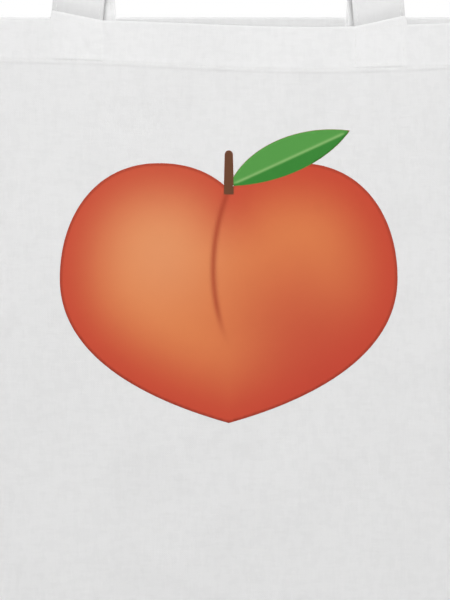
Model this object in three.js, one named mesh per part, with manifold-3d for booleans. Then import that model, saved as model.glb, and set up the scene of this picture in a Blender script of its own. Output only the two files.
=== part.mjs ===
// A printed cotton tote bag, hanging by its two handles. Millimetres, +Z up, the bag's front faces -Y.
// The origin is the hanging point: the middle of the underside of the handles' arch, where a peg or a rail bears.
// The body is a front and a back cloth panel, each with its top edge turned inwards as a hem, joined by
// overlocked seams at the sides and the bottom. Each handle is a flat folded strap, sewn inside a hem at both
// ends. A printed peach lies on the front panel, and sewing thread holds the hems, the straps and their ends.
import * as THREE from 'three';
import { mergeVertices } from 'three/addons/utils/BufferGeometryUtils.js';
import Module from 'manifold-3d';

const wasm = await Module();
wasm.setup();

// The body.
const BAG_WIDTH = 380;
const BAG_HEIGHT = 420;
const CLOTH = 0.6; // thickness of one layer of cotton
const HEM = 26.5; // height of the turned hem
const HEM_THICKNESS = 1.6; // the panel with the hem's layers inside it
const FULLNESS = 15; // the furthest that each panel bulges from the middle plane
const EDGE_GAP = 1.15; // half the distance between the panels where they are seamed
const MOUTH_CLOSING = 0.2; // how much less the panels bulge at the mouth
const CLOSING_DEPTH = 70; // how far down that reaches
const HALF_WIDTH = BAG_WIDTH / 2;
const CLEARANCE = 0.3; // between pieces that touch

// The handles.
const STRAP_WIDTH = 30;
const STRAP = 2; // thickness of the folded strap
const HANDLE_DROP = 305; // from the hanging point down to the mouth
const ARCH_RADIUS = 40; // inside radius of the handles' arch
const STRAP_END = 24.5; // how far below the mouth a strap's end reaches
const LEG_PULL = 90; // length of the leg curve's end tangents
const FRONT_HANDLE = { side: -1, spread: 87.5, shift: 0.8, lean: 4 };
const BACK_HANDLE = { side: 1, spread: 82, shift: 2.3, lean: -6 };
const BETWEEN_HANDLES = 2.5; // from the middle plane to each strap at the top of the arch
const MOUTH_Z = -HANDLE_DROP;
const ARCH_LINE = ARCH_RADIUS + STRAP / 2;

// The two top edges aren't quite level: the front one hangs lower, with a shallow dip right of the middle.
const EDGE_STEP = 0.4;
const DIP = 4.6;
const DIP_AT = 50;
const DIP_REACH = 95;

// Sewing thread.
const THREAD = 0.5;
const HEM_STITCH = HEM - 1.5; // depth of the hem's stitch line
const BOX = { halfWidth: 12.5, top: 4, bottom: 22.5 }; // the sewn box at each end of a strap
const STRAP_STITCH_INSET = 2.5; // from the strap's edge to its edge stitching
const STRAP_STITCH_START = 4; // above the mouth

// Seam allowances, which lie between the panels' edges.
const SEAM_WIDTH = 11;
const SEAM_THICKNESS = 1;
const SEAM_INSET = 0.5; // from the bag's edge to the allowance

// The print.
const PRINT_X = 1;
const PRINT_DEPTH = 99; // from the mouth down to the notch that the stem stands in
const FRUIT_HALF_WIDTH = 98;
const FRUIT_DEPTH = 136; // from the notch down to the tip
const FILM = 0.25;

const lerp = THREE.MathUtils.lerp;
const rad = THREE.MathUtils.degToRad;
const smooth = (t) => THREE.MathUtils.smoothstep(t, 0, 1);

// How far the front panel's top edge hangs below the mouth's level at x.
function frontDrop(x) {
  return EDGE_STEP + DIP * Math.exp(-(((x - DIP_AT) / DIP_REACH) ** 2));
}

// The distance from the bag's middle plane to a panel's middle layer.
function bulge(x, depth) {
  const across = 1 - Math.abs(x / HALF_WIDTH) ** 2.2;
  const down = (1 - THREE.MathUtils.clamp(depth / BAG_HEIGHT, 0, 1) ** 3) ** 0.8;
  const mouth = 1 - MOUTH_CLOSING * Math.exp(-depth / CLOSING_DEPTH);
  return EDGE_GAP + (FULLNESS - EDGE_GAP) * Math.max(across, 0) * down * mouth;
}

// A point on a panel. side is -1 for the front and 1 for the back, and out is the distance outwards from
// the panel's middle layer.
function panelPoint(side, x, depth, out) {
  const drop = side < 0 ? frontDrop(x) : -EDGE_STEP;
  const z = MOUTH_Z - depth - drop * (1 - depth / BAG_HEIGHT);
  return new THREE.Vector3(x, side * (bulge(x, depth) + out), z);
}

// A closed geometry from points and quads or triangles, with its faces turned outwards.
function closedGeometry(points, faces) {
  const index = faces.flatMap((f) => (f.length === 4 ? [f[0], f[1], f[2], f[0], f[2], f[3]] : f));
  let volume = 0;
  for (let i = 0; i < index.length; i += 3) {
    const [a, b, c] = [points[index[i]], points[index[i + 1]], points[index[i + 2]]];
    volume += a.dot(b.clone().cross(c));
  }
  if (volume < 0) index.reverse();
  return new THREE.BufferGeometry().setFromPoints(points).setIndex(index);
}

// A curved sheet with thickness: columns by rows of points on its outer and its inner face.
function sheetGeometry(columns, rows, outer, inner) {
  const across = columns.length;
  const down = rows.length;
  const points = [outer, inner].flatMap((face) => rows.flatMap((r) => columns.map((c) => face(c, r))));
  const at = (face, row, column) => face * across * down + row * across + column;
  const faces = [];
  for (let r = 0; r < down - 1; r++) {
    for (let c = 0; c < across - 1; c++) {
      faces.push([at(0, r, c), at(0, r, c + 1), at(0, r + 1, c + 1), at(0, r + 1, c)]);
      faces.push([at(1, r, c), at(1, r + 1, c), at(1, r + 1, c + 1), at(1, r, c + 1)]);
    }
  }
  for (let c = 0; c < across - 1; c++) {
    faces.push([at(0, 0, c), at(1, 0, c), at(1, 0, c + 1), at(0, 0, c + 1)]);
    faces.push([at(0, down - 1, c), at(0, down - 1, c + 1), at(1, down - 1, c + 1), at(1, down - 1, c)]);
  }
  for (let r = 0; r < down - 1; r++) {
    faces.push([at(0, r, 0), at(0, r + 1, 0), at(1, r + 1, 0), at(1, r, 0)]);
    faces.push([at(0, r, across - 1), at(1, r, across - 1), at(1, r + 1, across - 1), at(0, r + 1, across - 1)]);
  }
  return closedGeometry(points, faces);
}

// A solid through rings of points: a bar with two flat ends, or a loop if it is closed.
function sweptGeometry(rings, loop = false) {
  const sides = rings[0].length;
  const points = rings.flat();
  const faces = [];
  const spans = loop ? rings.length : rings.length - 1;
  for (let i = 0; i < spans; i++) {
    const next = (i + 1) % rings.length;
    for (let k = 0; k < sides; k++) {
      const l = (k + 1) % sides;
      faces.push([i * sides + k, i * sides + l, next * sides + l, next * sides + k]);
    }
  }
  if (!loop) {
    const last = (rings.length - 1) * sides;
    for (let k = 1; k < sides - 1; k++) {
      faces.push([0, k + 1, k]);
      faces.push([last, last + k, last + k + 1]);
    }
  }
  return closedGeometry(points, faces);
}

// count + 1 values from one number to another.
function steps(from, to, count) {
  return Array.from({ length: count + 1 }, (_, i) => lerp(from, to, i / count));
}

// One panel of the body. The hem's layers thicken it on the inside, down to the hem's lower edge.
function panelGeometry(side) {
  const columns = steps(-HALF_WIDTH, HALF_WIDTH, 26);
  const rows = [...steps(0, HEM, 2), ...steps(HEM + CLEARANCE, BAG_HEIGHT, 20)];
  const inside = (depth) => (depth <= HEM ? CLOTH / 2 - HEM_THICKNESS : -CLOTH / 2);
  const nearSeam = (x) => Math.max(1 - Math.abs(x) / HALF_WIDTH, 0);
  // Near the side seams there is no room for the hem's layers, so they thin out there.
  const inner = (x, depth) => {
    const full = Math.min(1, nearSeam(x) / 0.08);
    return panelPoint(side, x, depth, lerp(-CLOTH / 2, inside(depth), full));
  };
  return sheetGeometry(columns, rows, (x, depth) => panelPoint(side, x, depth, CLOTH / 2), inner);
}

// Where a strap lies against the hem's inner face, as a distance from the middle plane.
function strapDepth(x) {
  return bulge(x, 0) + CLOTH / 2 - HEM_THICKNESS - CLEARANCE * 2 - STRAP / 2;
}

// A handle's stations from its left end to its right: each has a place, the direction along the strap, the
// direction across it, and the direction out of its outer face. Each leg makes a quarter turn on the way up, so
// that the outer face becomes the top of the arch.
function handleStations(handle) {
  const { side, spread, shift, lean } = handle;
  const legEnd = (sign) => sign * spread + shift;
  const top = side * (BETWEEN_HANDLES + STRAP_WIDTH / 2);
  const mouth = side < 0 ? frontDrop : () => -EDGE_STEP;
  const stations = [];
  const leg = (sign) => {
    const x = legEnd(sign);
    const y = side * strapDepth(Math.abs(x) + STRAP_WIDTH / 2);
    const edge = MOUTH_Z - mouth(x);
    const start = new THREE.Vector3(x, y, edge);
    const end = new THREE.Vector3(sign * ARCH_LINE, top, -ARCH_RADIUS);
    const up = new THREE.Vector3(-sign * Math.sin(rad(lean)), 0, Math.cos(rad(lean)));
    const curve = new THREE.CubicBezierCurve3(
      start,
      start.clone().addScaledVector(up, LEG_PULL),
      end.clone().add(new THREE.Vector3(0, 0, -LEG_PULL)),
      end,
    );
    const found = [{ place: new THREE.Vector3(x, y, edge - STRAP_END), along: new THREE.Vector3(0, 0, 1), turn: 0 }];
    const count = 22;
    for (let i = 0; i < count; i++) {
      const t = i / count;
      found.push({ place: curve.getPointAt(t), along: curve.getTangentAt(t), turn: (Math.PI / 2) * smooth(t) });
    }
    return found;
  };
  for (const s of leg(-1)) stations.push(s);
  for (const a of steps(180, 0, 16)) {
    const place = new THREE.Vector3(ARCH_LINE * Math.cos(rad(a)), top, ARCH_LINE * Math.sin(rad(a)) - ARCH_RADIUS);
    const along = new THREE.Vector3(Math.sin(rad(a)), 0, -Math.cos(rad(a)));
    stations.push({ place, along, turn: Math.PI / 2 });
  }
  for (const s of leg(1).reverse()) {
    stations.push({ place: s.place, along: s.along.negate(), turn: Math.PI - s.turn });
  }
  return stations.map(({ place, along, turn }) => {
    const flat = new THREE.Vector3(Math.cos(turn), side * Math.sin(turn), 0);
    const across = flat.addScaledVector(along, -flat.dot(along)).normalize();
    const out = new THREE.Vector3().crossVectors(across, along).normalize().multiplyScalar(-side);
    return { place, along, across, out };
  });
}

// The strap of a handle, a flat bar with a rectangular section.
function strapGeometry(handle) {
  const half = STRAP_WIDTH / 2;
  const section = [
    [-half, -1],
    [0, -1],
    [half, -1],
    [half, 1],
    [0, 1],
    [-half, 1],
  ];
  const rings = handleStations(handle).map(({ place, across, out }) =>
    section.map(([w, t]) => place.clone().addScaledVector(across, w).addScaledVector(out, (t * STRAP) / 2)),
  );
  return sweptGeometry(rings);
}

// A strand with a square section, through places that each have two directions across the strand.
function strandGeometry(stations, loop = false) {
  const half = THREAD / 2;
  const corners = [
    [-half, -half],
    [half, -half],
    [half, half],
    [-half, half],
  ];
  const rings = stations.map(({ place, a, b }) =>
    corners.map(([p, q]) => place.clone().addScaledVector(a, p).addScaledVector(b, q)),
  );
  return sweptGeometry(rings, loop);
}

// One line of stitching along a handle, on its outer face near one edge.
function strapThreadGeometry(handle, edge) {
  const inset = edge * (STRAP_WIDTH / 2 - STRAP_STITCH_INSET);
  const height = STRAP / 2 + CLEARANCE + THREAD / 2;
  const start = MOUTH_Z + STRAP_STITCH_START;
  const stations = handleStations(handle)
    .filter(({ place }) => place.z > start)
    .map(({ place, across, out }) => ({
      place: place.clone().addScaledVector(across, inset).addScaledVector(out, height),
      a: across,
      b: out,
    }));
  return strandGeometry(stations);
}

const OUTWARD = CLOTH / 2 + CLEARANCE + THREAD / 2;
const UP = new THREE.Vector3(0, 0, 1);
const ACROSS = new THREE.Vector3(1, 0, 0);

// The stitch line that holds a hem, right across the panel.
function hemThreadGeometry(side) {
  const out = new THREE.Vector3(0, side, 0);
  const stations = steps(-HALF_WIDTH + 3, HALF_WIDTH - 3, 52).map((x) => ({
    place: panelPoint(side, x, HEM_STITCH, OUTWARD),
    a: UP,
    b: out,
  }));
  return strandGeometry(stations);
}

// The rectangle of stitching that holds one end of a strap in the hem.
function boxThreadGeometry(handle, sign) {
  const { side, spread, shift } = handle;
  const middle = sign * spread + shift;
  const out = new THREE.Vector3(0, side, 0);
  const diagonal = (across, up) => ACROSS.clone().multiplyScalar(across).addScaledVector(UP, up);
  const corner = (across, depth, up) => ({
    place: panelPoint(side, middle + across * BOX.halfWidth, depth, OUTWARD),
    a: diagonal(across, up),
    b: out,
  });
  const stations = [
    corner(-1, BOX.top, 1),
    corner(1, BOX.top, 1),
    corner(1, BOX.bottom, -1),
    corner(-1, BOX.bottom, -1),
  ];
  return strandGeometry(stations, true);
}

// The overlocked seam allowance along one side of the bag.
function sideSeamGeometry(sign) {
  const near = HALF_WIDTH - SEAM_INSET;
  const far = near - SEAM_WIDTH;
  const half = SEAM_THICKNESS / 2;
  const rings = steps(EDGE_STEP, BAG_HEIGHT - SEAM_INSET, 10).map((depth) => {
    const z = MOUTH_Z - depth;
    return [
      new THREE.Vector3(sign * near, -half, z),
      new THREE.Vector3(sign * near, half, z),
      new THREE.Vector3(sign * far, half, z),
      new THREE.Vector3(sign * far, -half, z),
    ];
  });
  return sweptGeometry(rings);
}

// The overlocked seam allowance along the bottom of the bag, between those of the sides.
function bottomSeamGeometry() {
  const half = SEAM_THICKNESS / 2;
  const low = MOUTH_Z - BAG_HEIGHT + SEAM_INSET;
  const end = HALF_WIDTH - SEAM_INSET - SEAM_WIDTH - 0.4;
  const rings = steps(-end, end, 10).map((x) => [
    new THREE.Vector3(x, -half, low),
    new THREE.Vector3(x, half, low),
    new THREE.Vector3(x, half, low + SEAM_WIDTH),
    new THREE.Vector3(x, -half, low + SEAM_WIDTH),
  ]);
  return sweptGeometry(rings);
}

// The outlines of the print, in its own plane: x to the right and y up from the notch under the stem. It is
// a plain peach of two equal lobes, with one leaf and a short straight stem.
function fruitOutline() {
  const shape = new THREE.Shape();
  shape.moveTo(0, 0);
  shape.bezierCurveTo(14, 14, 32, 16, 46, 15);
  shape.bezierCurveTo(80, 12, FRUIT_HALF_WIDTH, -18, FRUIT_HALF_WIDTH, -52);
  shape.bezierCurveTo(FRUIT_HALF_WIDTH, -96, 50, -122, 0, -FRUIT_DEPTH);
  shape.bezierCurveTo(-50, -122, -FRUIT_HALF_WIDTH, -96, -FRUIT_HALF_WIDTH, -52);
  shape.bezierCurveTo(-FRUIT_HALF_WIDTH, -18, -80, 12, -46, 15);
  shape.bezierCurveTo(-32, 16, -14, 14, 0, 0);
  return shape;
}

function leafOutline() {
  const shape = new THREE.Shape();
  shape.moveTo(0, 2);
  shape.bezierCurveTo(10, 26, 42, 38, 70, 34);
  shape.bezierCurveTo(56, 14, 26, 2, 0, 2);
  return shape;
}

function stemOutline() {
  const shape = new THREE.Shape();
  shape.moveTo(-3, -3);
  shape.lineTo(-2.4, 20);
  shape.bezierCurveTo(-2.4, 23.5, 2.4, 23.5, 2.4, 20);
  shape.lineTo(3, -3);
  shape.closePath();
  return shape;
}

// A geometry's faces as a solid that can be joined and cut.
function solidOf(geometry) {
  const bare = geometry.index ? geometry.toNonIndexed() : geometry.clone();
  bare.deleteAttribute('normal');
  bare.deleteAttribute('uv');
  const merged = mergeVertices(bare, 1e-4);
  return new wasm.Manifold(
    new wasm.Mesh({
      numProp: 3,
      vertProperties: merged.attributes.position.array,
      triVerts: new Uint32Array(merged.index.array),
    }),
  );
}

// The printed film: a thin sheet that follows the front panel, cut to the outline of the picture.
function printGeometry() {
  const outlines = [fruitOutline(), leafOutline(), stemOutline()];
  const cutter = outlines
    .map((shape) => {
      const block = new THREE.ExtrudeGeometry(shape, { depth: 4 * FULLNESS, bevelEnabled: false, curveSegments: 12 });
      block.rotateX(Math.PI / 2);
      block.translate(PRINT_X, FULLNESS, MOUTH_Z - PRINT_DEPTH);
      return solidOf(block);
    })
    .reduce((joined, next) => joined.add(next));
  const near = CLOTH / 2 + CLEARANCE;
  const columns = steps(PRINT_X - 115, PRINT_X + 110, 16);
  const rows = steps(PRINT_DEPTH - 40, PRINT_DEPTH + 150, 13);
  const film = sheetGeometry(
    columns,
    rows,
    (x, depth) => panelPoint(-1, x, depth, near + FILM),
    (x, depth) => panelPoint(-1, x, depth, near),
  );
  const made = solidOf(film).intersect(cutter).getMesh();
  return new THREE.BufferGeometry()
    .setAttribute('position', new THREE.BufferAttribute(made.vertProperties, 3))
    .setIndex(new THREE.BufferAttribute(made.triVerts, 1));
}

const cotton = new THREE.MeshStandardMaterial({ color: 0xe9e9e7, roughness: 0.95, side: THREE.DoubleSide });
const webbing = new THREE.MeshStandardMaterial({ color: 0xe6e6e4, roughness: 0.92 });
const thread = new THREE.MeshStandardMaterial({ color: 0xf2f2ee, roughness: 0.7 });
const overlock = new THREE.MeshStandardMaterial({ color: 0xe4e4e0, roughness: 0.95 });
const ink = new THREE.MeshStandardMaterial({ color: 0xd25f3c, roughness: 0.75 });

const bag = new THREE.Group();

function add(name, geometry, material) {
  const mesh = new THREE.Mesh(geometry, material);
  mesh.name = name;
  bag.add(mesh);
}

add('front_panel', panelGeometry(-1), cotton);
add('back_panel', panelGeometry(1), cotton);
add('peach_print', printGeometry(), ink);
add('left_side_seam', sideSeamGeometry(-1), overlock);
add('right_side_seam', sideSeamGeometry(1), overlock);
add('bottom_seam', bottomSeamGeometry(), overlock);
for (const [name, handle] of [
  ['front', FRONT_HANDLE],
  ['back', BACK_HANDLE],
]) {
  add(`${name}_handle`, strapGeometry(handle), webbing);
  add(`${name}_handle_inner_edge_thread`, strapThreadGeometry(handle, 1), thread);
  add(`${name}_handle_outer_edge_thread`, strapThreadGeometry(handle, -1), thread);
  add(`${name}_hem_thread`, hemThreadGeometry(handle.side), thread);
  add(`${name}_left_strap_end_thread`, boxThreadGeometry(handle, -1), thread);
  add(`${name}_right_strap_end_thread`, boxThreadGeometry(handle, 1), thread);
}

export default bag;
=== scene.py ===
import bmesh
import bpy
import math
import numpy as np
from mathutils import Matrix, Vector
from mathutils.geometry import delaunay_2d_cdt


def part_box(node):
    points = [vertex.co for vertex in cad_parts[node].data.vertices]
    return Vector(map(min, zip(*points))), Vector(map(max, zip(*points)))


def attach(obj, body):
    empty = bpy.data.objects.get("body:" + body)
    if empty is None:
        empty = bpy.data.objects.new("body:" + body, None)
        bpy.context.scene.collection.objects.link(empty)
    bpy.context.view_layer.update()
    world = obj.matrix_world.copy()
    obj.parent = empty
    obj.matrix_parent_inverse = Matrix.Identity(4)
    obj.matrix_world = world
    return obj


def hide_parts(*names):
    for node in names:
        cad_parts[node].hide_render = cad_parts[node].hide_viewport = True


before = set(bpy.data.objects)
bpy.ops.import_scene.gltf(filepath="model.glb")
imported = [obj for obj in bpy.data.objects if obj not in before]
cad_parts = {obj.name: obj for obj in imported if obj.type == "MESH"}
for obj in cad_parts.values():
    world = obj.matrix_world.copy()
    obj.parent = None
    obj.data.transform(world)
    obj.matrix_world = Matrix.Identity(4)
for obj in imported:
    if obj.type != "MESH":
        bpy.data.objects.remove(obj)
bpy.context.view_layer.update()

MM = 0.001


def box_mm(node):
    low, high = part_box(node)
    return np.array(low) / MM, np.array(high) / MM


# ---------------------------------------------------------------- the bag's shape, as the CAD has it

FRONT, BACK = -1, 1
HALF_WIDTH = box_mm("front_panel")[1][0]
MOUTH = (box_mm("front_panel")[1][2] + box_mm("back_panel")[1][2]) / 2
HEIGHT = MOUTH - box_mm("front_panel")[0][2]
FULLNESS = 15.0  # the furthest that a panel bulges from the middle plane
MOUTH_CLOSING = 0.2
CLOSING_DEPTH = 70.0
EDGE_STEP = (box_mm("back_panel")[1][2] - box_mm("front_panel")[1][2]) / 2
DIP, DIP_AT, DIP_REACH = 4.6, 50.0, 95.0

CLOTH = 0.5  # one layer of cotton
HEM = 26.5
HEM_STITCH = 25.0
HEM_INSIDE = 1.3  # from the panel's middle layer to the hem's inner face
SEAM_HALF = 0.3  # half the distance between the panels' middle layers at the seams

STRAP_WIDTH = 30.0
STRAP = 1.8
STRAP_END = 24.5
ARCH_RADIUS = 40.0
ARCH_LINE = ARCH_RADIUS + 1.0
LEG_PULL = 90.0
BETWEEN_HANDLES = 2.5
STRAP_STITCH = 12.5  # from a strap's middle line to its edge stitching
STRAP_SHOWS_TO = 23.5  # the depth to which a strap's end shows through the hem
BOX_HALF, BOX_TOP, BOX_BOTTOM = 14, 3.5, 22.5  # the rectangle sewn through each strap end
FOLD_RISE, FOLD_SLANT = 2.6, 0.183  # how far the hem's edge is drawn up over a front strap, and its slant
HEM_NARROWING = 1.8  # how much narrower the front hem is at its left end


def strap_middles(name):
    found = []
    for where in ("left", "right"):
        low, high = box_mm(f"{name}_{where}_strap_end_thread")
        found.append((low[0] + high[0]) / 2)
    return found


HANDLES = {
    "front": {"side": FRONT, "ends": strap_middles("front"), "lean": 4.0, "crease": 1.0},
    "back": {"side": BACK, "ends": strap_middles("back"), "lean": -6.0, "crease": 0.0},
}


def smooth(t):
    t = np.clip(t, 0, 1)
    return t * t * (3 - 2 * t)


def bump(t):
    return np.exp(-t * t)


def plateau(t, half, soft):
    """1 within half of 0, falling to 0 over soft."""
    return 1 - smooth((np.abs(t) - half + soft / 2) / soft)


def waves(seed, count, longest, shortest):
    """A smooth random function of x and depth, about -1 to 1."""
    r = np.random.default_rng(seed)
    length = np.exp(r.uniform(np.log(shortest), np.log(longest), count))
    angle = r.uniform(0, math.pi, count)
    phase = r.uniform(0, 2 * math.pi, count)
    size = length / length.sum()

    def value(x, d):
        total = 0
        for k in range(count):
            along = x * math.cos(angle[k]) + d * math.sin(angle[k])
            total = total + size[k] * np.sin(2 * math.pi * along / length[k] + phase[k])
        return 1.6 * total

    return value


SLACK = {FRONT: waves(3, 16, 260, 80), BACK: waves(8, 16, 260, 80)}
CRUMPLE = {FRONT: waves(21, 22, 60, 18), BACK: waves(34, 22, 60, 18)}
RIPPLE = {FRONT: waves(5, 14, 30, 9), BACK: waves(6, 14, 30, 9)}


def edge_drop(side, x):
    if side > 0:
        return -EDGE_STEP + 0 * x
    return EDGE_STEP + DIP * bump((x - DIP_AT) / DIP_REACH)


def bulge(side, x, d):
    """From the middle plane to the panel's middle layer."""
    across = np.maximum(1 - np.abs(x / HALF_WIDTH) ** 2.2, 0)
    down = (1 - np.clip(d / HEIGHT, 0, 1) ** 3) ** 0.8
    mouth = 1 - MOUTH_CLOSING * np.exp(-np.maximum(d, 0) / CLOSING_DEPTH)
    body = SEAM_HALF + (FULLNESS - SEAM_HALF) * across * down * mouth
    free = smooth((HALF_WIDTH - np.abs(x)) / 45) * smooth((HEIGHT - d) / 60)
    slack = 1.1 * SLACK[side](x, d) * (0.35 + 0.65 * smooth(d / 120)) + 0.16 * CRUMPLE[side](x, d)
    # The cloth is pulled a little forward below each strap, and fades down the bag.
    pull = 0
    for end in HANDLES["front" if side < 0 else "back"]["ends"]:
        pull = pull + 0.9 * bump((x - end) / 20) * np.exp(-np.maximum(d - 10, 0) / 80)
    return body + free * (slack + pull)


# Small creases by the strap ends, each from one (x, depth) to another, with a width and a depth.
CREASES = [
    (-99, 5, -90, 16, 1.5, 0.30),
    (-84, 11, -80, 22, 1.7, 0.35),
    (-72, 2, -70, 12, 1.3, 0.35),
    (-118, 15, -112, 24, 2.2, 0.30),
    (-93, 9, -84, 7, 1.5, -0.20),
    (67, 8, 64, 17, 1.5, 0.30),
    (97, 9, 88, 21, 1.6, 0.35),
    (80, 4, 86, 13, 1.8, 0.20),
    (112, 6, 108, 20, 2.0, 0.20),
    (10, 4, 16, 20, 4.0, 0.15),
    (-40, 20, -22, 12, 3.0, 0.15),
]


def creases(x, d):
    total = 0
    for x0, d0, x1, d1, width, depth in CREASES:
        length = math.hypot(x1 - x0, d1 - d0)
        ux, ud = (x1 - x0) / length, (d1 - d0) / length
        along = (x - x0) * ux + (d - d0) * ud
        off = (x - x0) * ud - (d - d0) * ux
        total = total - depth * bump(off / width) * plateau(along - length / 2, length / 2, length * 0.7)
    return total


def relief(side, x, d):
    """How far the outer face stands off the panel's middle layer."""
    hem = 1 - smooth((d - HEM + 1.0) / 2.4)
    out = CLOTH / 2 + 0.35 * hem
    flip = 1 if side < 0 else -1
    for end in HANDLES["front" if side < 0 else "back"]["ends"]:
        on = plateau(x - end, STRAP_WIDTH / 2 - 0.3, 1.6) * (1 - smooth((d - STRAP_SHOWS_TO) / 1.5))
        out = out + 0.40 * on
        for edge in (-BOX_HALF, BOX_HALF):
            held = smooth((d - 2) / 2) * (1 - smooth((d - 23) / 2))
            out = out - 0.16 * bump((x - end - edge) / 0.8) * held
    # The hem's stitches lie in a groove on the side of a low ridge, and the hem's face is a little uneven.
    stitched = bump((d - HEM_STITCH) / 0.7)
    out = out - 0.07 * stitched * (1 + 0.3 * np.sin(2 * math.pi * x / 3.0))
    out = out + 0.2 * bump((d - 24.0) / 2.2)
    band = smooth(d / 2) * hem
    out = out + 0.10 * band * RIPPLE[side](x, d * 0.6)
    return out + creases(flip * x, d) * smooth(d / 1.5)


def fold_height(outward):
    """How far the hem's edge is drawn up over a front strap; outward is from the strap's middle line."""
    return FOLD_RISE + FOLD_SLANT * outward


def drawn_up(side, x):
    total = 0 * x
    if side < 0:
        for sign, end in zip((-1, 1), HANDLES["front"]["ends"]):
            total = total + fold_height(sign * (x - end)) * plateau(x - end, STRAP_WIDTH / 2 + 0.2, 0.9)
    return total


def drift(x, d):
    """The whole hanging body's soft flutes: how far back both panels lie together."""
    flutes = 2.7 * np.sin(x / 46 + 0.6) + 1.6 * np.sin(x / 25 + d / 260 + 2.0)
    corner = 3.0 * (x / HALF_WIDTH) ** 3
    return smooth((d - 25) / 300) * (flutes + corner) + 0.9 * np.sin(d / 70) * smooth(d / 80) * x / HALF_WIDTH


def panel_point(side, x, d, out):
    """A point on a panel, out from its middle layer. x, d and out are arrays of one shape."""
    x, d, out = np.broadcast_arrays(np.asarray(x, float), d, out)
    sway = 0.5 * np.sin(d / 47 + side) + 0.35 * np.sin(d / 21 + 2 * side)
    wide = x + np.sign(x) * sway * smooth((np.abs(x) - 120) / 70) * smooth(d / 60)
    z = MOUTH - d - edge_drop(side, x) * (1 - d / HEIGHT) + drawn_up(side, x) * (1 - smooth(d / 10))
    if side < 0:
        # The front hem is sewn a little narrower towards its left end.
        z = z + HEM_NARROWING * smooth((30 - x) / 190) * smooth(d / 18) * (1 - smooth((d - 30) / 42))
    low = 0.7 * np.sin(x / 39 + 0.5) + 0.4 * np.sin(x / 17)
    z = z + low * smooth((d - 300) / 120)
    return np.stack([wide, side * (bulge(side, x, d) + out) + drift(x, d), z], axis=-1)


def outer_point(side, x, d, lift=0.0):
    return panel_point(side, x, d, relief(side, np.asarray(x, float), np.asarray(d, float)) + lift)


# ---------------------------------------------------------------- the handles' shape


def bezier(points, t):
    p = np.array(points, float)
    t = np.asarray(t)[:, None]
    return (1 - t) ** 3 * p[0] + 3 * (1 - t) ** 2 * t * p[1] + 3 * (1 - t) * t * t * p[2] + t**3 * p[3]


class Strap:
    """One handle. s runs along it in millimetres, from 0 at its left end to its whole length."""

    def __init__(self, side, ends, lean, crease):
        self.side, self.ends, self.crease = side, ends, crease
        top = side * (BETWEEN_HANDLES + STRAP_WIDTH / 2)
        legs = []
        for sign, x in ((-1, ends[0]), (1, ends[1])):
            edge = MOUTH - float(edge_drop(side, np.array(float(x))))
            y = side * (float(bulge(side, np.array(abs(x) + STRAP_WIDTH / 2), np.array(0.0))) - 2.9)
            start = np.array([x, y, edge])
            end = np.array([sign * ARCH_LINE, top, -ARCH_RADIUS])
            up = np.array([-sign * math.sin(math.radians(lean)), 0, math.cos(math.radians(lean))])
            t = np.linspace(0, 1, 161)
            line = bezier([start, start + up * LEG_PULL, end - [0, 0, LEG_PULL], end], t)
            sunk = np.linspace(-STRAP_END, 0, 26)[:-1]
            below = np.stack([x + 0 * sunk, y + 0 * sunk, edge + sunk], axis=1)
            gone = np.concatenate([[0], np.cumsum(np.linalg.norm(np.diff(line, axis=0), axis=1))])
            turn = math.pi / 2 * smooth(gone / gone[-1])
            legs.append((np.concatenate([below, line]), np.concatenate([0 * sunk, turn])))
        a = np.radians(np.linspace(180, 0, 61)[1:-1])
        arch = np.stack([ARCH_LINE * np.cos(a), top + 0 * a, ARCH_LINE * np.sin(a) - ARCH_RADIUS], axis=1)
        self.line = np.concatenate([legs[0][0], arch, legs[1][0][::-1]])
        self.turn = np.concatenate([legs[0][1], math.pi / 2 + 0 * a, math.pi - legs[1][1][::-1]])
        step = np.linalg.norm(np.diff(self.line, axis=0), axis=1)
        self.s = np.concatenate([[0], np.cumsum(step)])
        self.length = self.s[-1]
        self.edge = [MOUTH - float(edge_drop(side, np.array(float(x)))) for x in ends]

    def place(self, s):
        """The middle line's point at s."""
        return np.stack([np.interp(s, self.s, self.line[:, k]) for k in range(3)], axis=-1)

    def frame(self, s):
        """The middle line's point at s, and the directions across the strap and out of it."""
        along = self.place(np.minimum(s + 1.5, self.length)) - self.place(np.maximum(s - 1.5, 0))
        along /= np.linalg.norm(along, axis=-1, keepdims=True)
        turn = np.interp(s, self.s, self.turn)
        flat = np.stack([np.cos(turn), self.side * np.sin(turn), 0 * turn], axis=-1)
        across = flat - along * (flat * along).sum(-1, keepdims=True)
        across /= np.linalg.norm(across, axis=-1, keepdims=True)
        out = -self.side * np.cross(across, along)
        return self.place(s), across, out

    def point(self, s, w, t):
        """The point s along, w across from the middle line and t out of the outer face's side."""
        s, w, t = np.broadcast_arrays(np.asarray(s, float), w, t)
        place, across, out = self.frame(s)
        sag = 0.25 * np.sin(s / 31.0 + self.side) * (w / 15.0) + 0.12 * np.sin(s / 9.0) * (w / 15.0) ** 2
        p = place + across * w[..., None] + out * (t + sag)[..., None]
        # Each end lies flat in the hem and follows it, and comes free of it above the mouth.
        for edge, gone in zip(self.edge, (s - STRAP_END, self.length - s - STRAP_END)):
            near = gone < 60
            if not near.any():
                continue
            x, z = p[..., 0], p[..., 2]
            up = z - edge
            d = np.maximum(-up, 0)
            seat = bulge(self.side, np.clip(x, -HALF_WIDTH, HALF_WIDTH), d) - HEM_INSIDE - 0.05 - STRAP / 2
            over = up - fold_height(-w) * self.crease
            rise = 0.9 * smooth((over - 0.2) / 9.0)
            lie = seat + rise + t
            share = 1 - smooth((up - 4) / 34)
            y = (1 - share) * p[..., 1] + share * self.side * lie
            p = np.where(near[..., None], np.stack([x, y, z], axis=-1), p)
        return p


STRAPS = {name: Strap(h["side"], h["ends"], h["lean"], h["crease"]) for name, h in HANDLES.items()}


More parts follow.
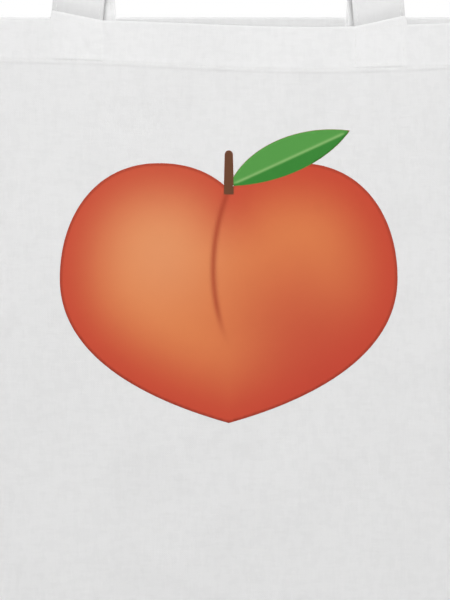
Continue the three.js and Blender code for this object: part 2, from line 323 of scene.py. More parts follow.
# ---------------------------------------------------------------- meshes


def make_mesh(name, points, faces, attributes=None):
    """A mesh object from points in millimetres."""
    mesh = bpy.data.meshes.new(name)
    mesh.from_pydata((np.asarray(points) * MM).tolist(), [], faces)
    mesh.validate()
    for key, values in (attributes or {}).items():
        mesh.attributes.new(key, "FLOAT", "POINT").data.foreach_set("value", np.asarray(values, np.float32))
    mesh.polygons.foreach_set("use_smooth", [True] * len(mesh.polygons))
    obj = bpy.data.objects.new(name, mesh)
    bpy.context.scene.collection.objects.link(obj)
    return obj


def grid_faces(rows, columns, start, turned):
    i = np.arange(rows - 1)[:, None] * columns + np.arange(columns - 1)[None, :] + start
    quads = np.stack([i, i + 1, i + columns + 1, i + columns], axis=-1).reshape(-1, 4)
    return (quads[:, ::-1] if turned else quads).tolist()


def closed_sheet(outer, inner, turned):
    """Points and faces of a sheet with thickness, from two grids of one shape (rows, columns, 3)."""
    rows, columns = outer.shape[:2]
    size = rows * columns
    points = np.concatenate([outer.reshape(-1, 3), inner.reshape(-1, 3)])
    faces = grid_faces(rows, columns, 0, turned) + grid_faces(rows, columns, size, not turned)
    ring = (
        list(range(columns))
        + [r * columns + columns - 1 for r in range(1, rows)]
        + [(rows - 1) * columns + c for c in range(columns - 2, -1, -1)]
        + [r * columns for r in range(rows - 2, 0, -1)]
    )
    for k, a in enumerate(ring):
        b = ring[(k + 1) % len(ring)]
        quad = [b, a, a + size, b + size]
        faces.append(quad[::-1] if turned else quad)
    return points, faces


def fix_normals(obj):
    """Turns the faces outwards."""
    bm = bmesh.new()
    bm.from_mesh(obj.data)
    bmesh.ops.recalc_face_normals(bm, faces=bm.faces)
    bm.to_mesh(obj.data)
    bm.free()


def panel_columns(ends):
    edge = [HALF_WIDTH - k for k in (0, 0.25, 0.6, 1.2, 2.2, 4)]
    columns = [*edge, *[-e for e in edge], *np.arange(-183, 184, 3.0)]
    for end in ends:
        columns += list(np.arange(end - 21, end + 21.01, 0.9))
    columns = np.unique(np.round(columns, 3))
    keep = [columns[0]]
    for c in columns[1:-1]:
        if c - keep[-1] >= 0.24:
            keep.append(c)
    return np.array(keep + [columns[-1]])


def panel_rows():
    top = [1.1, 1.8, 2.6, 3.6, 5, 6.5, 8, 10, 12, 14, 16, 18, 19.5, 20.5, 21.3, 22, 22.6, 23.2, 23.8]
    hem_edge = [*np.arange(24.1, 27.71, 0.3), 28.5, 29.5, 31, 33]
    body = [*np.arange(36, HEIGHT - 2, 3.0), HEIGHT - 1.5, HEIGHT]
    return np.array(top + hem_edge + body)


def make_panel(name, side):
    ends = HANDLES["front" if side < 0 else "back"]["ends"]
    x = panel_columns(ends)
    d = panel_rows()
    xx, dd = np.meshgrid(x, d)
    # The cloth turns in at the side seams and at the bottom.
    rim = np.minimum((HALF_WIDTH - np.abs(xx)) / 0.9, (HEIGHT - dd) / 1.2)
    rim = np.sqrt(np.clip(1 - (1 - np.clip(rim, 0, 1)) ** 2, 0, 1))
    out = relief(side, xx, dd) * rim - SEAM_HALF * (1 - rim)
    inside = -(CLOTH / 2) - (HEM_INSIDE - CLOTH / 2) * (1 - smooth((dd - HEM + 0.3) / 0.6))
    room = np.clip((HALF_WIDTH - np.abs(xx)) / 15, 0, 1)
    pinch = 0.3 * bump((dd - HEM_STITCH) / 0.8)
    inside = (inside + pinch) * room - (CLOTH / 2) * (1 - room)
    inside = inside * rim - SEAM_HALF * (1 - rim)
    outer = panel_point(side, xx, dd, out)
    inner = panel_point(side, xx, dd, inside)
    # The fold along the top edge is round.
    middle_out = (out[0] + inside[0]) / 2
    half = (out[0] - inside[0]) / 2
    arcs = []
    for angle in np.radians([22, 45, 68, 90]):
        arcs.append((d[0] * (1 - math.sin(angle)), middle_out + half * math.cos(angle)))
    add_outer = np.stack([panel_point(side, x, dep + 0 * x, o) for dep, o in arcs[::-1]])
    add_inner = np.stack([panel_point(side, x, dep + 0 * x, 2 * middle_out - o) for dep, o in arcs[::-1]])
    outer = np.concatenate([add_outer, outer])
    inner = np.concatenate([add_inner, inner])
    points, faces = closed_sheet(outer, inner, side > 0)
    depth = np.concatenate([[a[0] for a in arcs[::-1]], d])
    layers = (1 - smooth((depth - HEM + 0.3) / 0.8))[:, None] + 0 * x[None, :]
    on = 0
    for end in ends:
        across = plateau(x - end, STRAP_WIDTH / 2, 1.2)
        on = on + across[None, :] * (1 - smooth((depth - STRAP_SHOWS_TO) / 2))[:, None]
    both = {
        "layers": np.tile(layers.ravel(), 2),
        "strap": np.tile((on + 0 * layers).ravel(), 2),
        # inside marks the inner faces, which the cotton paints lighter as painted light.
        "inside": np.repeat([0.0, 1.0], layers.size),
    }
    obj = make_mesh(name, points, faces, both)
    fix_normals(obj)
    return obj


def strap_section():
    """(w, t) around a folded strap: rounded edges, and a shallow channel along each stitch line."""
    half, thick = STRAP_WIDTH / 2, STRAP / 2
    w = [-14.1, -13.4, -12.9, -12.5, -12.1, -11.5, -10.5, -8.5, -6, -3, 0]
    w = w + [-v for v in w[-2::-1]]
    face = [(v, thick * (1 - 0.22 * float(bump((abs(v) - STRAP_STITCH) / 0.6))) + 0.05) for v in w]
    corner = half - 0.25
    edge = [(corner, 0.62 * thick), (half, 0.22 * thick), (half, -0.22 * thick), (corner, -0.62 * thick)]
    under = [(v, -t) for v, t in face[::-1]]
    other = [(-v, -t) for v, t in edge]
    return np.array(face + edge + under + other)


def make_strap(name, strap):
    total = strap.length
    low = list(np.linspace(0, STRAP_END - 1, 10)) + list(STRAP_END + np.arange(-0.6, 9.01, 0.35))
    s = low + list(np.arange(low[-1] + 1.2, total - low[-1] - 1.2, 2.4)) + [total - v for v in low[::-1]]
    s = np.array(s)
    section = strap_section()
    points = strap.point(s[:, None], section[None, :, 0], section[None, :, 1])
    rows, around = points.shape[:2]
    faces = []
    for r in range(rows - 1):
        for k in range(around):
            n = (k + 1) % around
            faces.append([r * around + k, r * around + n, (r + 1) * around + n, (r + 1) * around + k])
    faces.append(list(range(around))[::-1])
    faces.append([(rows - 1) * around + k for k in range(around)])
    up = np.minimum(s - STRAP_END, total - s - STRAP_END)[:, None]
    outward = -section[None, :, 0] + 0 * up
    over = up - fold_height(outward) * strap.crease
    # Painted shade: full up to the hem's fold, fading out over 9 mm above it.
    painted_shade = 1 - smooth(over / 9)
    obj = make_mesh(name, points.reshape(-1, 3), faces, {"painted_shade": painted_shade.ravel()})
    fix_normals(obj)
    return obj


def make_stitches(name, starts, ends, outs, radius=0.18):
    """Short raised strands of thread from starts to ends, each on a face that looks along outs."""
    starts, ends, outs = (np.asarray(v, float) for v in (starts, ends, outs))
    along = ends - starts
    b = outs / np.linalg.norm(outs, axis=1, keepdims=True)
    a = np.cross(along, b)
    a /= np.linalg.norm(a, axis=1, keepdims=True)
    shares = np.array([0.0, 0.14, 0.5, 0.86, 1.0])
    widths = np.array([0.25, 0.85, 1.0, 0.85, 0.25]) * radius
    lifts = np.array([-0.20, -0.04, 0.02, -0.04, -0.20])
    sides = 6
    angle = np.arange(sides) * 2 * math.pi / sides
    ring = (
        starts[:, None, None, :]
        + along[:, None, None, :] * shares[None, :, None, None]
        + a[:, None, None, :] * (widths[:, None] * np.cos(angle))[None, :, :, None]
        + b[:, None, None, :] * (widths[:, None] * np.sin(angle) * 0.8 + lifts[:, None])[None, :, :, None]
    )
    count, rings = ring.shape[:2]
    one = []
    for r in range(rings - 1):
        for k in range(sides):
            n = (k + 1) % sides
            one.append([r * sides + k, r * sides + n, (r + 1) * sides + n, (r + 1) * sides + k])
    one.append(list(range(sides))[::-1])
    one.append([(rings - 1) * sides + k for k in range(sides)])
    faces = []
    for i in range(count):
        base = i * rings * sides
        faces += [[base + v for v in f] for f in one]
    obj = make_mesh(name, ring.reshape(-1, 3), faces)
    fix_normals(obj)
    return obj


def stitch_line(point, start, end, pitch=3.0, share=0.8):
    """Starts and ends of stitches along the line point(v) for v from start to end."""
    count = max(1, int(abs(end - start) / pitch))
    v = start + (end - start) * (np.arange(count) + 0.5) / count
    half = (end - start) / count * share / 2
    return point(v - half), point(v + half)


# ---------------------------------------------------------------- the print's outlines


def outline(pieces, step=1.0):
    """A closed line through Bezier pieces, each three points on from the last piece's end."""
    here = pieces[0]
    found = []
    for c1, c2, end in pieces[1:]:
        length = math.dist(here, c1) + math.dist(c1, c2) + math.dist(c2, end)
        t = np.linspace(0, 1, max(4, int(length / step)), endpoint=False)
        found.append(bezier([here, c1, c2, end], t))
        here = end
    return np.concatenate(found)


# A plain peach of two equal lobes, with one leaf and a short straight stem. x is to the right and y up, from
# the notch that the stem stands in.
FRUIT_HALF_WIDTH = 98
FRUIT_DEPTH = 136
FRUIT = [
    (0, 0),
    ((14, 14), (32, 16), (46, 15)),
    ((80, 12), (FRUIT_HALF_WIDTH, -18), (FRUIT_HALF_WIDTH, -52)),
    ((FRUIT_HALF_WIDTH, -96), (50, -122), (0, -FRUIT_DEPTH)),
    ((-50, -122), (-FRUIT_HALF_WIDTH, -96), (-FRUIT_HALF_WIDTH, -52)),
    ((-FRUIT_HALF_WIDTH, -18), (-80, 12), (-46, 15)),
    ((-32, 16), (-14, 14), (0, 0)),
]
LEAF_BASE = (0, 2)
LEAF_TIP = (70, 34)
LEAF = [
    LEAF_BASE,
    ((10, 26), (42, 38), LEAF_TIP),
    ((56, 14), (26, 2), LEAF_BASE),
]
STEM = [
    (-3, -3),
    ((-2.8, 5), (-2.6, 12), (-2.4, 20)),
    ((-2.4, 23.5), (2.4, 23.5), (2.4, 20)),
    ((2.6, 12), (2.8, 5), (3, -3)),
    ((1, -3), (-1, -3), (-3, -3)),
]
print_low, print_high = box_mm("peach_print")
PRINT_X = (print_low[0] + print_high[0]) / 2
NOTCH = print_low[2] + FRUIT_DEPTH


def signed_distance(points, line):
    """How far each point is inside a closed line, in millimetres; negative outside."""
    a, b = line, np.roll(line, -1, axis=0)
    best = np.full(len(points), np.inf)
    inside = np.zeros(len(points), bool)
    for p, q in zip(a, b):
        e = q - p
        t = np.clip(((points - p) @ e) / max(e @ e, 1e-9), 0, 1)
        best = np.minimum(best, np.linalg.norm(points - p - t[:, None] * e, axis=1))
        crosses = (p[1] > points[:, 1]) != (q[1] > points[:, 1])
        if abs(e[1]) > 1e-12:
            inside ^= crosses & (points[:, 0] < p[0] + e[0] * (points[:, 1] - p[1]) / e[1])
    return np.where(inside, best, -best)


def fill_outlines(lines, step=1.6, margin=0.6):
    """Points and triangles, step apart, that fill closed lines which may overlap."""
    points, borders = [], []
    for line in lines:
        borders.append(list(range(len(points), len(points) + len(line))))
        points += [tuple(p) for p in line]
    reach = np.concatenate(lines)
    (left, bottom), (right, upper) = reach.min(axis=0), reach.max(axis=0)
    gx, gy = np.meshgrid(np.arange(left, right, step), np.arange(bottom, upper, step))
    gx = gx + (np.arange(gx.shape[0]) % 2)[:, None] * step / 2
    free = np.stack([gx.ravel(), gy.ravel()], axis=1)
    distances = np.array([signed_distance(free, line) for line in lines])
    free = free[(distances.max(axis=0) > 0) & (np.abs(distances).min(axis=0) > margin)]
    points += [tuple(p) for p in free]
    made, _, triangles, _, _, origins = delaunay_2d_cdt([Vector(p) for p in points], [], borders, 1, 1e-5)
    kept = [list(f) for f, o in zip(triangles, origins) if o]
    flat = np.array([tuple(v) for v in made])
    used = np.unique([v for f in kept for v in f])
    index = -np.ones(len(flat), int)
    index[used] = np.arange(len(used))
    return flat[used], [[int(index[v]) for v in f] for f in kept]


def make_print(name):
    """The ink: a thin closed film that follows the front panel's outer face."""
    lines = {"fruit": outline(FRUIT), "leaf": outline(LEAF), "stem": outline(STEM, 0.7)}
    flat, kept = fill_outlines(list(lines.values()))
    x, down = flat[:, 0] + PRINT_X, MOUTH - NOTCH - flat[:, 1]
    drop = edge_drop(FRONT, x)
    d = (down - drop) / (1 - drop / HEIGHT)
    top = outer_point(FRONT, x, d, 0.08)
    under = outer_point(FRONT, x, d, -0.05)
    size = len(flat)
    faces = kept + [[v + size for v in f[::-1]] for f in kept]
    edges = {(f[k], f[(k + 1) % len(f)]): True for f in kept for k in range(len(f))}
    for p, q in edges:
        if (q, p) not in edges:
            faces.append([q, p, p + size, q + size])
    both = {key: np.tile(signed_distance(flat, line), 2) for key, line in lines.items()}
    obj = make_mesh(name, np.concatenate([top, under]), faces, both)
    fix_normals(obj)
    return obj


# ---------------------------------------------------------------- materials


class Value:
    """A number in a material's node tree, which arithmetic makes more nodes of."""

    def __init__(self, tree, socket):
        self.tree, self.socket = tree, socket

    def node(self, operation, *others):
        made = self.tree.nodes.new("ShaderNodeMath")
        made.operation = operation
        for k, other in enumerate((self, *others)):
            if isinstance(other, Value):
                self.tree.links.new(other.socket, made.inputs[k])
            else:
                made.inputs[k].default_value = other
        return Value(self.tree, made.outputs[0])

    def __add__(self, other):
        return self.node("ADD", other)

    def __sub__(self, other):
        return self.node("SUBTRACT", other)

    def __mul__(self, other):
        return self.node("MULTIPLY", other)

    def __rsub__(self, other):
        return self * -1 + other

    def power(self, other):
        return self.node("POWER", other)

    def sine(self):
        return self.node("SINE")

    def ramp(self, low, high):
        """0 at low, 1 at high, smooth between; high may be the smaller."""
        made = self.tree.nodes.new("ShaderNodeMapRange")
        made.interpolation_type = "SMOOTHSTEP"
        self.tree.links.new(self.socket, made.inputs["Value"])
        flip = high < low
        made.inputs["From Min"].default_value = min(low, high)
        made.inputs["From Max"].default_value = max(low, high)
        made.inputs["To Min"].default_value = 1.0 if flip else 0.0
        made.inputs["To Max"].default_value = 0.0 if flip else 1.0
        return Value(self.tree, made.outputs["Result"])

    def bell(self, middle, width):
        """1 at middle, falling away over width."""
        off = (self - middle) * (1 / width)
        return (off * off * -1).node("EXPONENT")


def linear(colour):
    """A linear colour from a hexadecimal sRGB one."""
    found = []
    for k in (0, 2, 4):
        v = int(colour[k : k + 2], 16) / 255
        found.append(v / 12.92 if v <= 0.04045 else ((v + 0.055) / 1.055) ** 2.4)
    return (*found, 1.0)


def noise(tree, vector, scale, detail=2.0, roughness=0.5, stretch=(1, 1, 1)):
    mapping = tree.nodes.new("ShaderNodeMapping")
    mapping.inputs["Scale"].default_value = stretch
    tree.links.new(vector, mapping.inputs["Vector"])
    made = tree.nodes.new("ShaderNodeTexNoise")
    made.inputs["Scale"].default_value = scale
    made.inputs["Detail"].default_value = detail
    made.inputs["Roughness"].default_value = roughness
    tree.links.new(mapping.outputs[0], made.inputs["Vector"])
    return Value(tree, made.outputs["Fac"])


def mixed(tree, base, over, weight):
    """base with over on it; each is a colour tuple or a socket, and weight is a Value."""
    made = tree.nodes.new("ShaderNodeMix")
    made.data_type = "RGBA"
    made.clamp_factor = True
    tree.links.new(weight.socket, made.inputs[0])
    for slot, colour in ((6, base), (7, over)):
        if isinstance(colour, tuple):
            made.inputs[slot].default_value = colour
        else:
            tree.links.new(colour, made.inputs[slot])
    return made.outputs[2]


def material(name, roughness, sheen=0.0):
    made = bpy.data.materials.new(name)
    made.use_nodes = True
    shader = made.node_tree.nodes["Principled BSDF"]
    shader.inputs["Roughness"].default_value = roughness
    shader.inputs["Sheen Weight"].default_value = sheen
    shader.inputs["Sheen Roughness"].default_value = 0.6
    shader.inputs["Specular IOR Level"].default_value = 0.2
    return made, made.node_tree, shader


def coordinates(tree):
    """(object coordinates as a vector, then x, y and z in millimetres)."""
    made = tree.nodes.new("ShaderNodeTexCoord")
    parts = tree.nodes.new("ShaderNodeSeparateXYZ")
    tree.links.new(made.outputs["Object"], parts.inputs[0])
    return made.outputs["Object"], *[Value(tree, parts.outputs[k]) * (1 / MM) for k in range(3)]


def attribute(tree, name):
    made = tree.nodes.new("ShaderNodeAttribute")
    made.attribute_name = name
    return Value(tree, made.outputs["Fac"])


THREAD_PITCH = 0.62  # between neighbouring threads of the weave


def weave(tree, vector, a, b):
    """The height of a plain weave, 0 to 1, whose threads run along a and b, in millimetres."""
    wander = noise(tree, vector, 90, 2.0)
    u = (a + (wander - 0.5) * 0.5) * (math.pi / THREAD_PITCH)
    v = (b + (wander - 0.5) * -0.5) * (math.pi / THREAD_PITCH)
    return u.sine() * v.sine() * 0.5 + 0.5


def bump_node(tree, shader, height, distance, strength=1.0, last=None):
    made = tree.nodes.new("ShaderNodeBump")
    made.inputs["Strength"].default_value = strength
    made.inputs["Distance"].default_value = distance * MM
    tree.links.new(height.socket, made.inputs["Height"])
    if last is not None:
        tree.links.new(last, made.inputs["Normal"])
    tree.links.new(made.outputs[0], shader.inputs["Normal"])
    return made.outputs[0]


def uneven_threads(tree, vector):
    """Noise drawn out along the upright threads, and along the level ones."""
    upright = noise(tree, vector, 60, 3.0, 0.6, stretch=(14, 14, 1.6))
    level = noise(tree, vector, 60, 3.0, 0.6, stretch=(1.6, 14, 14))
    return upright, level


def cloth_detail(tree, shader, base, vector, a, b, strength=1.0):
    """Weave, slubs and soft mottling. Returns the colour socket."""
    fine = weave(tree, vector, a, b)
    upright, level = uneven_threads(tree, vector)
    cloudy = noise(tree, vector, 26, 3.0, 0.55)
    blocky = noise(tree, vector, 60, 1.0, 0.5, stretch=(5, 5, 1.8))
    blocky = blocky + noise(tree, vector, 60, 1.0, 0.5, stretch=(1.8, 5, 5))
    slub = upright.ramp(0.54, 0.74) * 0.55 + level.ramp(0.54, 0.74) * 0.55
    thin = upright.ramp(0.46, 0.28) * 0.5 + level.ramp(0.46, 0.28) * 0.5
    colour = mixed(tree, base, linear("fbfbfb"), slub * 0.12 * strength)
    colour = mixed(tree, colour, linear("9c9c9c"), thin * 0.045 * strength)
    colour = mixed(tree, colour, linear("9c9c9c"), blocky.ramp(0.92, 1.16) * 0.036 * strength)
    colour = mixed(tree, colour, linear("acacac"), cloudy.ramp(0.42, 0.68) * 0.04 * strength)
    normal = bump_node(tree, shader, fine, 0.10, 0.35 * strength)
    bump_node(tree, shader, slub - thin + upright * 0.6 + level * 0.6, 0.14, 0.27 * strength, normal)
    return colour


CLOTH_COLOUR = "e4e4e4"
HEM_COLOUR = "e8e8e8"
FRONT_STRAP_COLOUR = "e5e5e5"
# The back strap is the same cotton as the front one, painted lighter: painted light for its side shaded by
# the front strap.
BACK_STRAP_COLOUR_WITH_PAINTED_LIGHT = "f4f4f4"


def make_cotton():
    made, tree, shader = material("cotton_cloth", 0.92, 0.06)
    vector, x, _, z = coordinates(tree)
    layers = attribute(tree, "layers")
    strap = attribute(tree, "strap")
    base = mixed(tree, linear(CLOTH_COLOUR), linear(HEM_COLOUR), layers)
    base = mixed(tree, base, linear("ffffff"), strap * 0.06)
    # Painted light: the inner faces are lighter than the outer ones, against the shade inside the mouth.
    base = mixed(tree, base, linear("e9e9e9"), attribute(tree, "inside") * 0.9)
    colour = cloth_detail(tree, shader, base, vector, x, z)
    tree.links.new(colour, shader.inputs["Base Color"])
    return made


def make_webbing(name, tone, shade):
    """A strap's cloth, with painted shade where it comes out of the mouth; shade is how strong it is."""
    made, tree, shader = material(name, 0.9, 0.06)
    vector, x, y, z = coordinates(tree)
    # d0d0d0 is painted shade, laid on by the fold where the strap leaves the mouth.
    base = mixed(tree, linear(tone), linear("d0d0d0"), attribute(tree, "painted_shade") * shade)
    colour = cloth_detail(tree, shader, base, vector, x + y, z, 0.8)
    tree.links.new(colour, shader.inputs["Base Color"])
    return made


def make_thread():
    made, tree, shader = material("sewing_thread", 0.6, 0.1)
    _, x, y, z = coordinates(tree)
    twist = ((x + z + y) * (math.pi / 0.35)).sine() * 0.5 + 0.5
    colour = mixed(tree, linear("e0e0df"), linear("eeeeed"), twist)
    tree.links.new(colour, shader.inputs["Base Color"])
    bump_node(tree, shader, twist, 0.03, 0.6)
    return made


def make_overlock():
    made, tree, shader = material("overlocked_edge", 0.95, 0.1)
    vector, x, _, z = coordinates(tree)
    loops = ((z + x) * (math.pi / 1.3)).sine() * ((z - x) * (math.pi / 1.3)).sine() * 0.5 + 0.5
    base = mixed(tree, linear("dadad8"), linear("f0f0ee"), loops)
    colour = cloth_detail(tree, shader, base, vector, x, z, 0.6)
    tree.links.new(colour, shader.inputs["Base Color"])
    bump_node(tree, shader, loops, 0.3, 0.7)
    return made


def make_ink():
    """A plain painted peach: orange that reddens towards its edge, a crease, one leaf and a stem."""
    made, tree, shader = material("textile_ink", 0.85)
    shader.inputs["Specular IOR Level"].default_value = 0.06
    vector, gx, _, gz = coordinates(tree)
    x = gx - PRINT_X
    y = gz - NOTCH
    fruit, leaf, stem = (attribute(tree, name) for name in ("fruit", "leaf", "stem"))

    def patch(across, up, radius):
        """A soft round patch."""
        u = (x - across) * (1 / radius)
        v = (y - up) * (1 / radius)
        return ((u * u + v * v) * -1).node("EXPONENT")

    colour = mixed(tree, linear("c64d38"), linear("dd8350"), fruit.ramp(0, 46))
    colour = mixed(tree, colour, linear("bf4437"), patch(44, -84, 46) * 0.7)
    colour = mixed(tree, colour, linear("e6a477"), patch(-40, -34, 34) * 0.45)
    colour = mixed(tree, colour, linear("9f3f2f"), fruit.ramp(2.2, 0.8) * 0.6)

    # The crease is a shallow arc from the notch down.
    crease_length, crease_bow = 92, 9
    run = (y + crease_length / 2) * (2 / crease_length)
    crease = (x + (1 - run * run) * crease_bow).bell(0, 1.8) * y.ramp(-crease_length, -0.7 * crease_length)
    colour = mixed(tree, colour, linear("a8442f"), crease * 0.75)

    # The leaf is lighter above its rib than below it.
    slope = (LEAF_TIP[1] - LEAF_BASE[1]) / (LEAF_TIP[0] - LEAF_BASE[0])
    over_rib = y - LEAF_BASE[1] - x * slope
    green = mixed(tree, linear("3c8438"), linear("57994a"), over_rib.ramp(-1.5, 1.5))
    green = mixed(tree, green, linear("8dbb72"), over_rib.bell(0, 0.9) * leaf.ramp(0.6, 2.4) * 0.8)
    colour = mixed(tree, colour, green, leaf.ramp(-0.3, 0.4))
    colour = mixed(tree, colour, linear("6a4633"), stem.ramp(-0.3, 0.4))

    fine = weave(tree, vector, gx, gz)
    upright, level = uneven_threads(tree, vector)
    tree.links.new(colour, shader.inputs["Base Color"])
    normal = bump_node(tree, shader, fine, 0.08, 0.25)
    bump_node(tree, shader, upright + level, 0.12, 0.2, normal)
    return made


# ---------------------------------------------------------------- building


def finish_piece(obj, finish, node):
    obj.data.materials.append(finish)
    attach(obj, "root")
    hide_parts(node)
    return obj


def make_edge_stitches(name, strap, edge):
    """A row of stitching near one edge of a strap, on both its faces."""
    first, last = STRAP_END + 2.5, strap.length - STRAP_END - 2.5
    across = edge * STRAP_STITCH
    starts, ends, outs = [], [], []
    for face in (1, -1):
        height = face * (STRAP / 2 - 0.12)
        a, b = stitch_line(lambda v: strap.point(v, across, height), first, last)
        middle = (np.arange(len(a)) + 0.5) / len(a) * (last - first) + first
        starts.append(a)
        ends.append(b)
        outs.append(strap.point(middle, across, height + face) - strap.point(middle, across, height))
    return make_stitches(name, *(np.concatenate(v) for v in (starts, ends, outs)))


def make_hem_stitches(name, side):
    """The hem's stitching, outside and inside."""
    inner_face = 0.26 - HEM_INSIDE
    rows = (
        (side, HALF_WIDTH - 3, lambda v: outer_point(side, v, HEM_STITCH + 0 * v, -0.02)),
        (-side, HALF_WIDTH - 20, lambda v: panel_point(side, v, HEM_STITCH + 0 * v, inner_face + 0 * v)),
    )
    starts, ends, outs = [], [], []
    for facing, reach, row in rows:
        a, b = stitch_line(row, -reach, reach)
        starts.append(a)
        ends.append(b)
        outs.append(np.tile([0.0, facing, 0.0], (len(a), 1)))
    return make_stitches(name, *(np.concatenate(v) for v in (starts, ends, outs)))


def make_box_stitches(name, side, end):
    """The rectangle sewn through one strap end, whose middle is at x = end."""
    corners = [
        (end - BOX_HALF, BOX_TOP),
        (end + BOX_HALF, BOX_TOP),
        (end + BOX_HALF, BOX_BOTTOM),
        (end - BOX_HALF, BOX_BOTTOM),
    ]
    starts, ends = [], []
    for (x0, d0), (x1, d1) in zip(corners, corners[1:] + corners[:1]):
        reach = math.hypot(x1 - x0, d1 - d0)
        across, down = (x1 - x0) / reach, (d1 - d0) / reach
        a, b = stitch_line(lambda v: outer_point(side, x0 + across * v, d0 + down * v), 0.0, reach, 2.8)
        starts.append(a)
        ends.append(b)
    starts, ends = np.concatenate(starts), np.concatenate(ends)
    return make_stitches(name, starts, ends, np.tile([0.0, side, 0.0], (len(starts), 1)), 0.17)


cotton, sewing, overlock, ink = make_cotton(), make_thread(), make_overlock(), make_ink()
webbing = {
    # Only the front strap gets painted shade by its fold.
    "front": make_webbing("front_strap_cloth", FRONT_STRAP_COLOUR, 0.45),
    # The back strap's lighter colour is painted light.
    "back": make_webbing("back_strap_cloth", BACK_STRAP_COLOUR_WITH_PAINTED_LIGHT, 0.0),
}

for name, side in (("front", FRONT), ("back", BACK)):
    finish_piece(make_panel(f"{name}_cloth", side), cotton, f"{name}_panel")

for name, strap in STRAPS.items():
    finish_piece(make_strap(f"{name}_strap", strap), webbing[name], f"{name}_handle")
    for edge, word in ((1, "inner"), (-1, "outer")):
        stitches = make_edge_stitches(f"{name}_strap_{word}_stitches", strap, edge)
        finish_piece(stitches, sewing, f"{name}_handle_{word}_edge_thread")
    stitches = make_hem_stitches(f"{name}_hem_stitches", strap.side)
    finish_piece(stitches, sewing, f"{name}_hem_thread")
    for where, end in zip(("left", "right"), strap.ends):
        stitches = make_box_stitches(f"{name}_{where}_box_stitches", strap.side, end)
        finish_piece(stitches, sewing, f"{name}_{where}_strap_end_thread")


def make_allowance(name, start, end, inward):
    """The overlocked edge inside a seam: a thin strip from start to end, which reaches inward."""
    start, end, inward = (np.array(v, float) for v in (start, end, inward))
    length = np.linalg.norm(end - start)
    s = np.linspace(0, 1, int(length / 4))
    w = np.array([0, 2, 4, 6, 8, 9.5, 10.2])
    lift = 0.35 * np.sin(s * length / 7.0)[:, None] * (w / 10)[None, :] ** 2
    thick = np.array([0.25, 0.4, 0.4, 0.42, 0.5, 0.5, 0.2])
    base = start + (end - start) * s[:, None, None] + inward * w[None, :, None]
    ragged = 0.25 * np.sin(s * length / 1.9)[:, None] * (w / 10)[None, :] ** 4
    base = base + inward * ragged[..., None]
    lift = lift + drift(base[..., 0], MOUTH - base[..., 2])
    outer, inner = base.copy(), base.copy()
    outer[..., 1] = lift + thick
    inner[..., 1] = lift - thick
    points, faces = closed_sheet(outer, inner, False)
    obj = make_mesh(name, points, faces)
    fix_normals(obj)
    return obj


SEAM_INSET = 2.6  # from the bag's edge to the outer edge of an allowance
BOTTOM_SEAM_INSET = 14  # from the side allowances to the ends of the bottom one
near = HALF_WIDTH - SEAM_INSET
top, bottom = MOUTH - HEM, MOUTH - HEIGHT + SEAM_INSET
for name, start, end, inward, node in (
    ("left_side_allowance", (-near, 0, top), (-near, 0, bottom), (1, 0, 0), "left_side_seam"),
    ("right_side_allowance", (near, 0, top), (near, 0, bottom), (-1, 0, 0), "right_side_seam"),
    (
        "bottom_allowance",
        (BOTTOM_SEAM_INSET - near, 0, bottom),
        (near - BOTTOM_SEAM_INSET, 0, bottom),
        (0, 0, 1),
        "bottom_seam",
    ),
):
    finish_piece(make_allowance(name, start, end, inward), overlock, node)

finish_piece(make_print("peach_print_film"), ink, "peach_print")

# ---------------------------------------------------------------- floor, light and camera

FLOOR_GAP = 160  # from the bag's lowest edge down to the floor
FADE_START, FADE_END = 800, 2000  # where the floor begins to turn into the surround, and where it has
LIGHT_TARGET = (0, 0, -0.45)  # metres, about the middle of the bag

bpy.ops.mesh.primitive_plane_add(size=60, location=(0, 0, (MOUTH - HEIGHT - FLOOR_GAP) * MM))
floor = bpy.context.object
floor.name = "floor"
made, tree, shader = material("pale_floor", 0.9)
shader.inputs["Base Color"].default_value = (0.8, 0.8, 0.8, 1)
# The floor fades into the white surround, like a studio sweep.
_, x, y, _ = coordinates(tree)
clear = tree.nodes.new("ShaderNodeBsdfTransparent")
fade = tree.nodes.new("ShaderNodeMixShader")
tree.links.new((x * x + y * y).power(0.5).ramp(FADE_START, FADE_END).socket, fade.inputs[0])
tree.links.new(shader.outputs[0], fade.inputs[1])
tree.links.new(clear.outputs[0], fade.inputs[2])
tree.links.new(fade.outputs[0], tree.nodes["Material Output"].inputs[0])
floor.data.materials.append(made)

world = bpy.data.worlds.new("studio")
bpy.context.scene.world = world
world.use_nodes = True
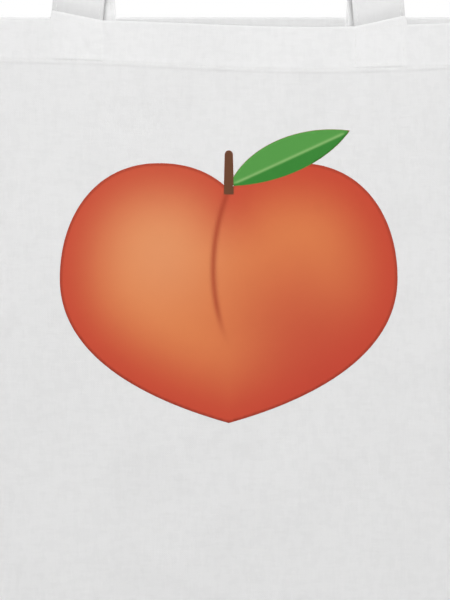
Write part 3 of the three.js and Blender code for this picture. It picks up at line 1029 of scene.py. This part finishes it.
# The studio's surround looks white, and adds only part of the light.
sky = world.node_tree
surround = sky.nodes["Background"]
surround.inputs["Color"].default_value = (1, 1, 1, 1)
surround.inputs["Strength"].default_value = 0.15
seen = sky.nodes.new("ShaderNodeBackground")
seen.inputs["Color"].default_value = (1, 1, 1, 1)
choose = sky.nodes.new("ShaderNodeMixShader")
sky.links.new(sky.nodes.new("ShaderNodeLightPath").outputs["Is Camera Ray"], choose.inputs[0])
sky.links.new(surround.outputs[0], choose.inputs[1])
sky.links.new(seen.outputs[0], choose.inputs[2])
sky.links.new(choose.outputs[0], sky.nodes["World Output"].inputs[0])


def soft_light(name, place, size, power):
    """A square lamp; place and size are in metres and power in watts."""
    data = bpy.data.lights.new(name, "AREA")
    data.shape = "SQUARE"
    data.size = size
    data.energy = power
    obj = bpy.data.objects.new(name, data)
    obj.location = place
    obj.rotation_euler = (Vector(LIGHT_TARGET) - Vector(place)).to_track_quat("-Z", "Y").to_euler()
    bpy.context.scene.collection.objects.link(obj)


soft_light("front_light", (0, -1.4, 0.85), 0.22, 23.2)
soft_light("front_fill", (0, -2.3, -0.33), 0.15, 7)
soft_light("rear_light", (0, 1.68, 0.72), 0.5, 28)
soft_light("left_light", (-2.3, 0, 0.3), 1.5, 18.7)
soft_light("right_light", (2.3, 0, 0.3), 1.5, 18.7)

VIEW_HEIGHT = 348.0  # how much of the front panel the picture takes in
VIEW_MIDDLE = 163.6  # from the mouth's back edge down to the middle of the picture
DISTANCE = 2400.0
ELEVATION = 4.0
target = Vector((-1.2, -13.0, box_mm("back_panel")[1][2] - VIEW_MIDDLE)) * MM
camera_data = bpy.data.cameras.new("camera")
camera_data.sensor_fit = "VERTICAL"
camera_data.sensor_height = 36
camera_data.lens = 36 * DISTANCE / VIEW_HEIGHT
camera_data.clip_start = 0.05
camera_data.clip_end = 100
camera = bpy.data.objects.new("camera", camera_data)
tilt = math.radians(ELEVATION)
camera.location = target + Vector((0, -math.cos(tilt), math.sin(tilt))) * DISTANCE * MM
camera.rotation_euler = (math.pi / 2 - tilt, 0, 0)
bpy.context.scene.collection.objects.link(camera)
bpy.context.scene.camera = camera
bpy.context.scene.view_settings.view_transform = "Standard"
